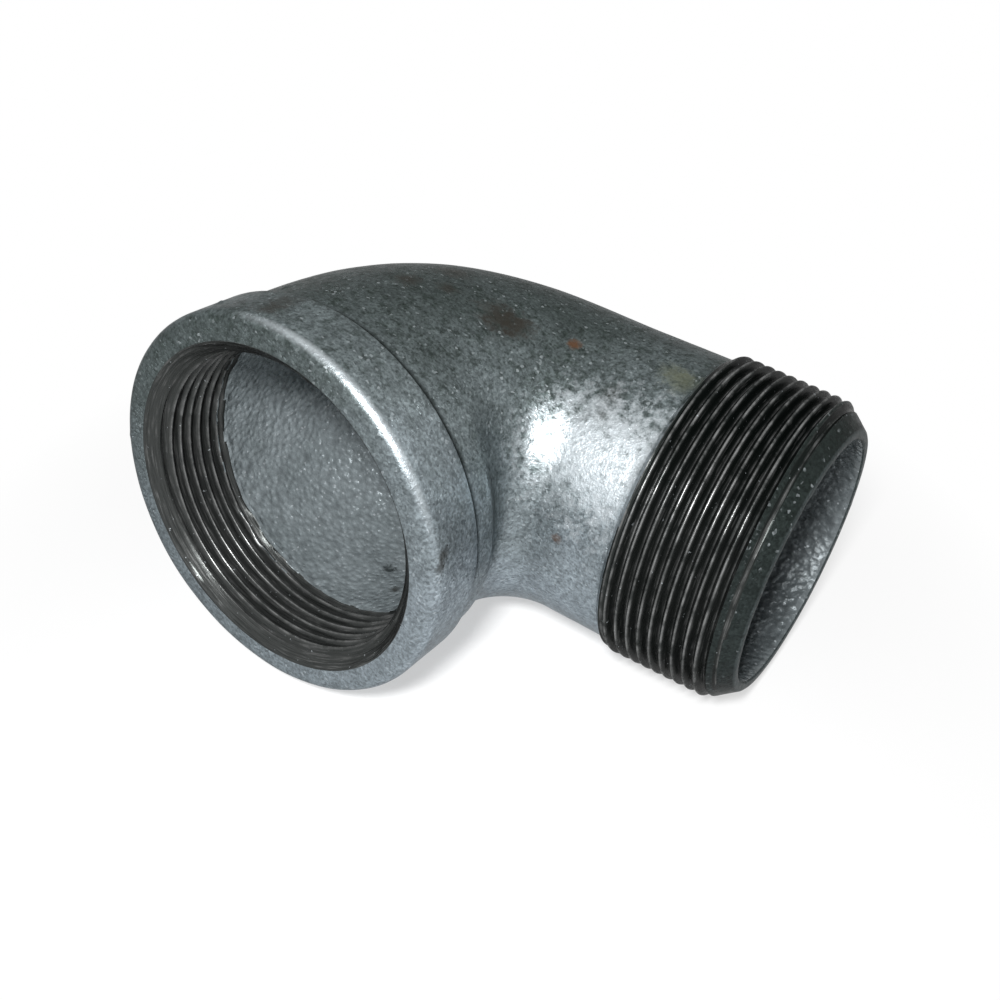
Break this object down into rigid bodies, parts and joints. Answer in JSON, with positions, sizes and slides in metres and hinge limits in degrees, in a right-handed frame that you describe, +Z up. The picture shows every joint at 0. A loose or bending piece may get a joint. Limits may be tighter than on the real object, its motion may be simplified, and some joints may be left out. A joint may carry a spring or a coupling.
{
  "type": "pipe elbow",
  "caption": "Galvanised 90 degree male and female pipe elbow: a collared socket with an inside thread, a bend, and a spigot with an outside taper thread.",
  "frame": {"origin": "centre of the socket's mouth, in the plane of the collar's face", "axes": "-Y out of the socket along its axis, +X out of the spigot along its axis, +Z up, square to the plane of both axes; the axes cross at (0, 0.0563, 0)"},
  "size_m": [0.1143, 0.0868, 0.0726],
  "materials": {
    "galvanised_iron": "hot-dip galvanised casting with a fine sparkling grain, and oily bare metal on the cut threads"
  },
  "bodies": {
    "root": {"elbow": "galvanised_iron"}
  },
  "joints": []
}
